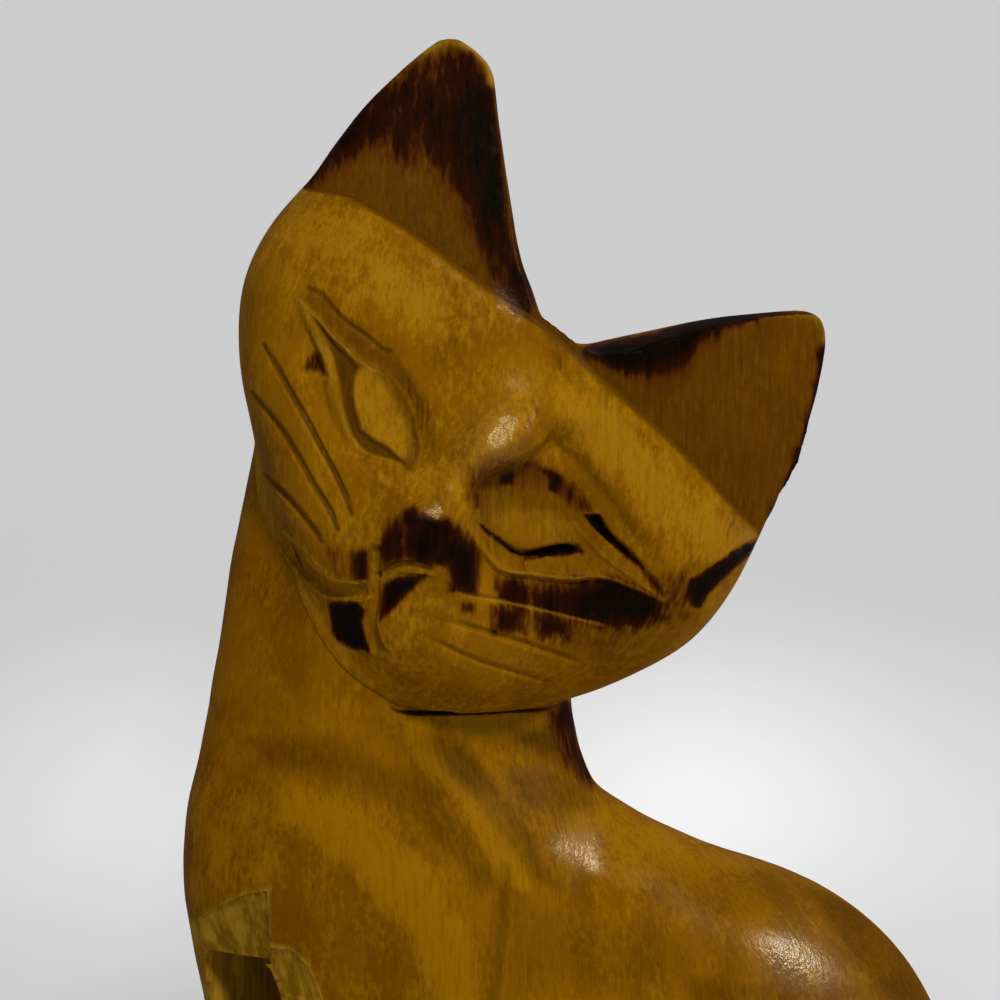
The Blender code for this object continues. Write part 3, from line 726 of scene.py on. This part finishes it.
def paintHead(piece):
    points = pointsOf(piece)
    onDome = frontOfFace(points)
    x, y, z = inHead(points).T
    behind = ease((y + earPlane(x, z) - 0.2 * mm) / (0.8 * mm))
    tips = ease((z - 24 * mm) / (14 * mm)) * behind
    burnt = paintOutlines(piece, earBurns) * (1 - onDome)
    burnt = np.maximum(burnt, paintOutlines(piece, faceBurns) * onDome)
    setMask(piece, "scorch", np.maximum(burnt, 0.8 * tips))
    # painted shade in creases and sunken places of the face; the cut fronts of the ears are painted darker as
    # well
    paintedShade = np.maximum(paintPaths(piece, creaseShades), paintOutlines(piece, shadedHollows))
    setMask(piece, "shade", paintedShade * onDome + 0.7 * (1 - onDome) * (1 - behind))
    # fresh-cut wood in the cuts, and painted light on lit lids, rims and edges
    setMask(piece, "wornAndLit", paintPaths(piece, freshAndLitEdges))
    # painted light on the raised, lit parts of the face, which also have goldener wood
    setMask(piece, "bright", paintOutlines(piece, litAndGoldenWood) * onDome)
    setMask(piece, "polish", polish(piece, facePolish))


def makeHead():
    piece = copyNode("head", "carvedHead")
    x, y, z = inHead(readVectors(piece.data.polygons, "center")).T
    up = readVectors(piece.data.polygons, "normal") @ headAxes[:, 2]
    brow = (up > 0.9) & (z > 0.5 * head["earRoot"]) & (z < 1.1 * head["earRoot"])
    editFaces(piece, brow & (y < -earPlane(x, z) - 1 * mm))
    block = Vector(headAxes[:, 2]) * head["browBlock"]
    bpy.ops.mesh.extrude_region_move(TRANSFORM_OT_translate={"value": block})
    bpy.ops.object.mode_set(mode="OBJECT")
    finishModifier(piece, "REMESH", mode="VOXEL", voxel_size=head["grain"])
    _, _, z = inHead(pointsOf(piece)).T
    onDome = ease((head["earRoot"] + 3 * mm - z) / (8 * mm))
    relax(piece, 18, spring=0.53)
    relax(piece, 14, share=onDome)
    relax(piece, 50, share=hill(onPicture(pointsOf(piece)), head["earKink"], 26, 26))
    carveAway(piece, earCutter())
    carveAway(piece, neckPost(joint["play"]))
    print("carvedHead: blocked out,", len(piece.data.polygons), "faces")

    def onFace(centres, normals):
        spots = onPicture(centres)
        return ((normals @ np.array(toCamera) > 0.1) & (frontOfFace(centres) > 0)
                & (spots[:, 1] > 180) & (spots[:, 1] < 700))

    def onStrokes(centres, normals):
        return onFace(centres, normals) & (nearStroke(onPicture(centres)) < 8)

    refine(piece, onFace)
    relax(piece, 6, share=frontOfFace(pointsOf(piece)) * (normalsOf(piece) @ np.array(toCamera) > 0.1))
    refine(piece, onStrokes)
    carve(piece, frontOfFace, faceForms)
    for flat in head["planes"]:
        plane(piece, *flat)
    rubBrowEdge(piece)
    paintHead(piece)
    select(piece)
    bpy.ops.object.shade_smooth_by_angle(angle=radians(40))
    print("carvedHead: carved and painted,", len(piece.data.polygons), "faces")
    return piece


# Body
body = {
    "grain": 1.1 * mm, "gapTop": 58 * mm, "roofDrop": 1.4 * mm,
    "legMiddle": 16.5, "toe": 3.3,             # in mm, as the toe line from a paw's front to its back
    "toeLine": [(-74.5, 2.5), (-72.5, 8.0), (-67.5, 12.5), (-61.0, 14.0)],
}
seam = [(392, 708), (398, 711), (409, 712.5), (450, 712.5), (480, 711.5), (510, 709.8), (540, 709),
        (570, 704)]
legCrease = [(508, 868), (506, 890), (504, 920), (501, 950), (496, 985), (492, 1010)]
bodyForms = [
    groove(seam, 3.2, 2.0, 0.15, 0.5),
    scarp(legCrease, 1, 60, 1.0, 6, 0.2, 0.02),
    mound((590, 878), 44, 36, 20, 1.2),
    mound((762, 938), 52, 50, 0, 1.0),
]
legCuts = [                                    # corners of the chisel cuts over the leg gap, for chisel()
    [(271, 964, 5.3, 267, 925), (267, 891, 0.3, 267, 891), (246, 894, 0.1, 246, 894),
     (216, 908, 0.1, 216, 908), (200, 920, 0.1, 200, 920), (190, 932, 0.5, 200, 926),
     (188, 964, 6.0, 200, 926)],
    [(284, 1040, 4.0, 300, 1000), (277, 1000, 4.0, 300, 1000), (263, 966, 3.8, 286, 966),
     (257, 946, 2.4, 280, 946), (292, 950, 0.1, 292, 950), (308, 966, 0.1, 308, 966),
     (322, 1000, 0.1, 322, 1000), (326, 1040, 0.1, 322, 1000)],
]
toes = [
    [(side * (body["legMiddle"] + shift), y, z) for y, z in body["toeLine"]]
    for side in (-1, 1) for shift in (-body["toe"], body["toe"])
]
# fresh chisel cuts over the leg gap, painted light inside the dark gap below them, and a painted lit band
# under the seam
bodyFreshAndLit = [
    ([(180, 926), (202, 916), (218, 904), (244, 890), (270, 886), (270, 960), (250, 955), (210, 950),
      (184, 946)], 10, 0.9),
    ([(262, 942), (292, 948), (309, 964), (324, 1000), (332, 1040), (284, 1040), (276, 1000),
      (264, 968)], 7, 0.9),
    ([(196, 946), (262, 954), (280, 1000), (284, 1040), (196, 1040)], 6, 0.8),
    ([(440, 723), (470, 726), (520, 727), (546, 722), (538, 731), (500, 736), (460, 733)], 6, 0.35),
]
# golden streaks of the wood; the band under the seam is painted light
bodyBright = [
    ([(290, 790), (340, 800), (420, 860), (470, 940), (480, 1000), (440, 1000), (400, 920), (340, 850),
      (280, 820)], 34, 0.9),
    ([(400, 714), (430, 730), (480, 780), (520, 840), (530, 890), (500, 880), (460, 800),
      (410, 750)], 20, 0.85),
    ([(450, 716), (540, 714), (545, 730), (500, 738), (460, 734)], 14, 1.0),
    ([(560, 800), (640, 820), (760, 860), (700, 880), (600, 880), (560, 860)], 40, 0.5),
    ([(190, 790), (250, 785), (272, 880), (200, 884)], 40, 0.35),
]
# painted shade on the neck below the head, between the shoulder and the haunch and along the back's edge,
# with some darker stain of the wood
bodyStainsAndShade = [
    ([(690, 985), (780, 975), (900, 980), (900, 1010), (690, 1010)], 26, 0.4),
    ([(250, 740), (330, 730), (440, 790), (500, 870), (480, 900), (420, 830), (340, 780),
      (260, 770)], 30, 0.5),
    ([(430, 730), (470, 750), (530, 830), (560, 890), (530, 880), (480, 810), (440, 760)], 18, 0.5),
    ([(500, 725), (590, 720), (600, 790), (560, 770), (520, 745)], 26, 0.5),
    ([(520, 900), (700, 930), (720, 1000), (500, 1000)], 60, 0.4),
    ([(300, 890), (400, 900), (420, 1000), (320, 1000), (280, 920)], 40, 0.12),
    ([(380, 735), (470, 735), (500, 790), (420, 800)], 24, 0.35),
    ([(500, 764), (560, 770), (596, 804), (566, 822), (512, 806)], 26, 0.5),
    ([(800, 884), (846, 890), (910, 940), (960, 1010), (900, 1010), (850, 960)], 26, 0.6),
    ([(640, 850), (770, 870), (800, 905), (740, 925), (640, 905)], 34, 0.35),
]
bodyShades = [
    (seam, 4, 0.7), (legCrease, 12, 0.45),
    ([(268, 892), (271, 945)], 6, 0.8),
    ([(560, 704), (556, 716), (550, 728)], 4, 0.9),
]


def paintBody(piece):
    setMask(piece, "scorch", paintOutlines(piece, bodyBurns))
    # painted shade along the seam and the leg's crease, and over the shaded places of the body, with some
    # stain
    setMask(piece, "shade", np.maximum(paintPaths(piece, bodyShades), paintOutlines(piece, bodyStainsAndShade)))
    # fresh chisel cuts, and painted light in the gap between the legs and under the seam
    setMask(piece, "wornAndLit", paintOutlines(piece, bodyFreshAndLit) * (pointsOf(piece)[:, 1] < -30 * mm))
    setMask(piece, "polish", polish(piece, bodyPolish))
    setMask(piece, "bright", paintOutlines(piece, bodyBright))


def makeBody():
    piece = copyNode("body", "carvedBody")
    x, _, z = readVectors(piece.data.polygons, "center").T
    roof = (abs(x) < 8 * mm) & (abs(z - body["gapTop"]) < mm)
    editFaces(piece, roof & (readVectors(piece.data.polygons, "normal")[:, 2] < -0.9))
    bpy.ops.mesh.extrude_region_move(TRANSFORM_OT_translate={"value": (0, 0, -body["roofDrop"])})
    bpy.ops.object.mode_set(mode="OBJECT")
    post = neckPost(-0.05 * mm)
    select(piece, post)
    bpy.ops.object.join()
    finishModifier(piece, "REMESH", mode="VOXEL", voxel_size=body["grain"])
    relax(piece, 25, spring=0.53)
    for cut in legCuts:
        chisel(piece, cut)
    piece = keepLargest(piece)
    print("carvedBody: blocked out,", len(piece.data.polygons), "faces")

    def near(paths, reach):
        def wanted(centres, normals):
            spots = onPicture(centres)
            gap = np.min([along(spots, np.array(path, float), reach)[0] for path in paths], axis=0)
            return (gap < reach) & (normals @ np.array(toCamera) > 0)
        return wanted

    def onCuts(centres, normals):
        spots = onPicture(centres)
        within = sum(inside(spots, [corner[:2] for corner in cut], 1) for cut in legCuts) > 0.5
        return within & (normals @ np.array(toCamera) > 0.05) & (centres[:, 1] < -30 * mm)

    def onPaws(centres, normals):
        return (centres[:, 1] < -58 * mm) & (centres[:, 2] < 15 * mm)

    refine(piece, onCuts, 5)
    refine(piece, near([seam, legCrease], 30))
    refine(piece, near([seam, legCrease], 12))
    refine(piece, near([seam], 7))
    refine(piece, onPaws)
    carve(piece, lambda points: 1.0, bodyForms)
    score(piece, toes, 1.3, 1.0)
    select(piece)
    bpy.ops.object.shade_smooth_by_angle(angle=radians(50))
    paintBody(piece)
    print("carvedBody: carved and painted,", len(piece.data.polygons), "faces")
    return piece


# Finishes

class Signal:                                  # an output in a shader, which sums and products extend
    def __init__(self, tree, socket=None):
        self.tree = tree
        self.socket = socket

    def node(self, kind, inputs=None, output=0, **settings):
        made = self.tree.nodes.new("ShaderNode" + kind)
        for name, value in settings.items():
            setattr(made, name, value)
        for name, value in (inputs or {}).items():
            if isinstance(value, Signal):
                self.tree.links.new(value.socket, made.inputs[name])
            else:
                made.inputs[name].default_value = value
        return Signal(self.tree, made.outputs[output])

    def math(self, operation, first, second):
        return self.node("Math", {0: first, 1: second}, operation=operation)

    def __add__(self, other):
        return self.math("ADD", self, other)

    def __radd__(self, other):
        return self.math("ADD", other, self)

    def __sub__(self, other):
        return self.math("SUBTRACT", self, other)

    def __rsub__(self, other):
        return self.math("SUBTRACT", other, self)

    def __mul__(self, other):
        return self.math("MULTIPLY", self, other)

    def __rmul__(self, other):
        return self.math("MULTIPLY", other, self)


def step(signal, low, high):                   # 0 below low, 1 above high, soft between
    return signal.node("MapRange", {"Value": signal, "From Min": low, "From Max": high},
                       interpolation_type="SMOOTHSTEP")


def paint(red, green, blue):                   # a colour as a screen shows it, 0 to 255, as light
    return tuple(
        part / 12.92 if part < 0.04045 else ((part + 0.055) / 1.055) ** 2.4
        for part in (red / 255, green / 255, blue / 255))


def blend(share, first, second):               # from the first colour to the second
    ends = [colour if isinstance(colour, Signal) else (*colour, 1) for colour in (first, second)]
    return share.node("Mix", {0: share, 6: ends[0], 7: ends[1]}, output=2, data_type="RGBA")


def newFinish(name):
    finish = bpy.data.materials.new(name)
    finish.use_nodes = True
    tree = finish.node_tree
    return finish, Signal(tree), tree.nodes["Principled BSDF"]


headTones = {
    "plain": paint(131, 86, 3), "deep": paint(105, 65, 1), "light": paint(153, 107, 13),
    "shade": paint(70, 40, 2), "band": paint(110, 69, 2),
}
bodyTones = {
    "plain": paint(121, 78, 1), "deep": paint(98, 60, 1), "light": paint(136, 93, 4),
    "shade": paint(58, 33, 1), "band": paint(98, 60, 1),
}
burnTones = {
    "toast": paint(74, 36, 3), "ember": paint(35, 10, 2), "char": paint(12, 6, 3),
    "wornAndLit": paint(150, 112, 28), "raw": paint(112, 78, 8),
}
varnish = 0.04                                 # the share of a full gloss away from the polished places
treeRings = {                                  # rings round the heart of the trunk, across the view
    "heart": aim - sideways * 45 * mm - upward * 70 * mm, "lean": (lift - pi / 2, 0, turn), "scale": 32.0,
}


def carvedWood(name, tones, ringShare, crackled):
    finish, start, shader = newFinish(name)
    place = start.node("TexCoord", output="Object")

    def grain(size, stretch, detail=2.0, rough=0.5):
        # noise with features of a size in metres, longer up the trunk
        spread = start.node("Mapping", {"Vector": place, "Scale": (1 / size, 1 / size, 1 / size / stretch)})
        return start.node("TexNoise", {"Vector": spread, "Scale": 1.0, "Detail": detail, "Roughness": rough})

    def mask(attribute):
        return start.node("Attribute", output="Fac", attribute_name=attribute)

    figure = grain(15 * mm, 1.8, 3.0, 0.6)
    fibre = grain(0.6 * mm, 12, 3.0, 0.65)
    streak = grain(0.7 * mm, 30, 2.0)
    mottle = grain(0.9 * mm, 2.0, 4.0, 0.7)
    lick = grain(2.2 * mm, 5, 2.0)
    pore = grain(0.35 * mm, 8, 1.0)
    cloud = grain(5 * mm, 1.5, 2.0)
    fromHeart = {0: place, 1: tuple(-part for part in treeRings["heart"])}
    across = {"Vector": start.node("VectorMath", fromHeart, operation="ADD"), "Rotation": treeRings["lean"]}
    annual = start.node("TexWave", {
        "Vector": start.node("Mapping", across, vector_type="TEXTURE"), "Scale": treeRings["scale"],
        "Distortion": 3.0, "Detail": 2.0, "Detail Scale": 0.8,
    }, wave_type="RINGS", rings_direction="Z", output="Fac")
    figure = figure * (1 - ringShare) + annual * ringShare
    colour = blend(step(figure + (mottle - 0.5) * 0.4, 0.28, 0.66), tones["deep"], tones["plain"])
    # the bright mask is painted light on lit parts and golden streaks of the wood; glint is the wood's
    # lighter mottle, raised there
    goldenAndLit = mask("bright")
    glint = step(mottle + (cloud - 0.5) * 0.8 + goldenAndLit * 0.62, 0.42, 0.90) * 0.8
    colour = blend(glint, colour, tones["light"])
    colour = blend(step(fibre, 0.46, 0.76) * 0.5, colour, tones["band"])
    # the shade mask paints shade into creases and sunken places, and darkens stain and the ear fronts
    hollow = mask("shade")
    dusk = step(hollow * (0.7 + fibre * 0.6) + (cloud - 0.5) * 0.2, 0.05, 1.0)
    colour = blend(dusk, colour, tones["shade"])
    colour = blend(step(pore, 0.64, 0.80) * 0.45, colour, tones["shade"])
    # fresh-cut wood, and painted light on lit rims, ridges and in the gap between the legs
    rubbedAndLit = mask("wornAndLit")
    bareAndLitWood = blend(step(lick * 0.6 + fibre * 0.4, 0.38, 0.62), burnTones["raw"], burnTones["wornAndLit"])
    colour = blend(step(rubbedAndLit + (mottle - 0.5) * 0.5, 0.1, 0.9), colour, bareAndLitWood)
    burn = mask("scorch") * (1 - rubbedAndLit)
    ragged = (streak - 0.5) * 1.1 + (fibre - 0.5) * 0.6 + (lick - 0.5) * 1.3
    burn = burn + (burn * (1 - burn) * 1.9 + burn * 0.2) * ragged + burn * (cloud - 0.5) * 0.6
    colour = blend(step(burn, 0.04, 0.42), colour, burnTones["toast"])
    colour = blend(step(burn, 0.28, 0.60), colour, burnTones["ember"])
    colour = blend(step(burn, 0.60, 0.95), colour, burnTones["char"])
    rough = 0.27 + hollow * 0.2 + rubbedAndLit * 0.25
    crackle = grain(0.9 * mm, 1.3, 3.0, 0.6)
    gloss = mask("polish")
    height = crackle * (1 + gloss * 2.6) + fibre * 0.25 + rubbedAndLit * lick * 1.6
    relief = start.node("Bump", {"Strength": crackled, "Distance": 0.3 * mm, "Height": height})
    coats = {"Base Color": colour, "Normal": relief, "Roughness": rough, "IOR": 1.5}
    matt = start.node("BsdfPrincipled", {**coats, "Specular IOR Level": 0.0})
    amber = {"Specular IOR Level": 0.5, "Specular Tint": (1, 0.84, 0.5, 1)}
    glossy = start.node("BsdfPrincipled", {**coats, **amber})
    varnished = start.node("MixShader", {0: gloss + varnish, 1: matt, 2: glossy})
    start.tree.links.new(varnished.socket, start.tree.nodes["Material Output"].inputs["Surface"])
    start.tree.nodes.remove(shader)
    return finish


def bareWood(name):
    finish, start, shader = newFinish(name)
    place = start.node("TexCoord", output="Object")
    spread = start.node("Mapping", {"Vector": place, "Scale": (900, 900, 60)})
    streak = start.node("TexNoise", {"Vector": spread, "Scale": 1.0, "Detail": 3.0})
    colour = blend(streak, paint(192, 155, 108), paint(162, 122, 75))
    start.tree.links.new(colour.socket, shader.inputs["Base Color"])
    shader.inputs["Roughness"].default_value = 0.6
    return finish


# Floor, backdrop and light
studio = {
    "floor": (0.60, 0.60, 0.60), "reach": 3.0, "bend": 0.9, "rise": 0.5,   # the sweep bends up behind the cat
    "fill": 0.35, "glow": 0.30, "nearGlow": 0.05, "glowFrom": 0.2,
    # paler parts of the backdrop: pixel, half width, half height, light
    "halos": [
        ((690, 800), 200, 150, 0.23), ((120, 800), 120, 150, 0.11), ((500, 1020), 900, 150, -0.19),
    ],
    # spot lit, in mm; the way to the lamp to the right, up and to the camera; metres off; size; watts
    "lamps": [
        ((36, -43, 133), (0.14, 0.60, 0.79), 0.9, 0.17, 6.4),
        ((28, -2, 60), (0.891, 0.446, -0.089), 0.8, 0.10, 3.0),
    ],
}


def placeStudio():
    bpy.ops.mesh.primitive_grid_add(x_subdivisions=90, y_subdivisions=120, size=2, location=(0, 0, 0))
    sweep = bpy.context.object
    sweep.name = "sweep"
    side, flat, _ = (studio["reach"] * abs(pointsOf(sweep)) ** 2.5 * np.sign(pointsOf(sweep))).T
    bend, rise = studio["bend"], studio["rise"]
    arc = np.clip((flat - bend) / rise, 0, pi / 2)
    wall = np.clip(flat - bend - rise * pi / 2, 0, None)
    back = np.minimum(flat, bend) + rise * np.sin(arc)
    placed = side[:, None] * np.array(sideways) - back[:, None] * np.array(outward)
    placed[:, 2] = rise * (1 - np.cos(arc)) + wall
    movePoints(sweep, placed)
    spots = onPicture(placed)
    halo = studio["glow"] + sum(strength * hill(spots, middle, wide, tall)
                                for middle, wide, tall, strength in studio["halos"])
    low = studio["nearGlow"]
    setMask(sweep, "halo", low + (halo - low) * ease(back / studio["glowFrom"]))
    select(sweep)
    bpy.ops.object.shade_smooth()
    finish, start, shader = newFinish("paleStudio")
    shader.inputs["Base Color"].default_value = (*studio["floor"], 1)
    shader.inputs["Roughness"].default_value = 0.9
    seen = start.node("LightPath", output="Is Camera Ray") + start.node("LightPath", output="Is Glossy Ray")
    seen = seen + start.node("LightPath", output="Is Transmission Ray")
    glow = seen * start.node("Attribute", output="Fac", attribute_name="halo")
    start.tree.links.new(glow.socket, shader.inputs["Emission Color"])
    shader.inputs["Emission Strength"].default_value = 1.0
    sweep.data.materials.append(finish)
    world = bpy.data.worlds.new("room")
    bpy.context.scene.world = world
    world.use_nodes = True
    world.node_tree.nodes["Background"].inputs["Color"].default_value = (1, 1, 1, 1)
    world.node_tree.nodes["Background"].inputs["Strength"].default_value = studio["fill"]
    for number, (spot, (right, up, near), off, wide, power) in enumerate(studio["lamps"]):
        lamp = bpy.data.lights.new("lamp" + str(number + 1), "AREA")
        lamp.shape = "DISK"
        lamp.size = wide
        lamp.energy = power
        holder = bpy.data.objects.new(lamp.name, lamp)
        way = sideways * right + upward * up + toCamera * near
        holder.location = Vector(spot) * mm + way * off
        holder.rotation_euler = way.to_track_quat("Z", "Y").to_euler()
        bpy.context.scene.collection.objects.link(holder)
    print("studio: sweep, room light and", len(studio["lamps"]), "lamps")


placeCamera()
placeStudio()
bpy.context.scene.view_settings.view_transform = "Standard"
headPiece = makeHead()
bodyPiece = makeBody()
headPiece.data.materials.clear()
headPiece.data.materials.append(carvedWood("headWood", headTones, 0.06, 0.33))
bodyPiece.data.materials.clear()
bodyPiece.data.materials.append(carvedWood("bodyWood", bodyTones, 0.12, 0.22))
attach(headPiece, "root")
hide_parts("head")
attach(bodyPiece, "root")
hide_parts("body")
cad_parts["neck_peg"].data.materials.clear()
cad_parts["neck_peg"].data.materials.append(bareWood("pegWood"))
print("finishes: head, body and peg")
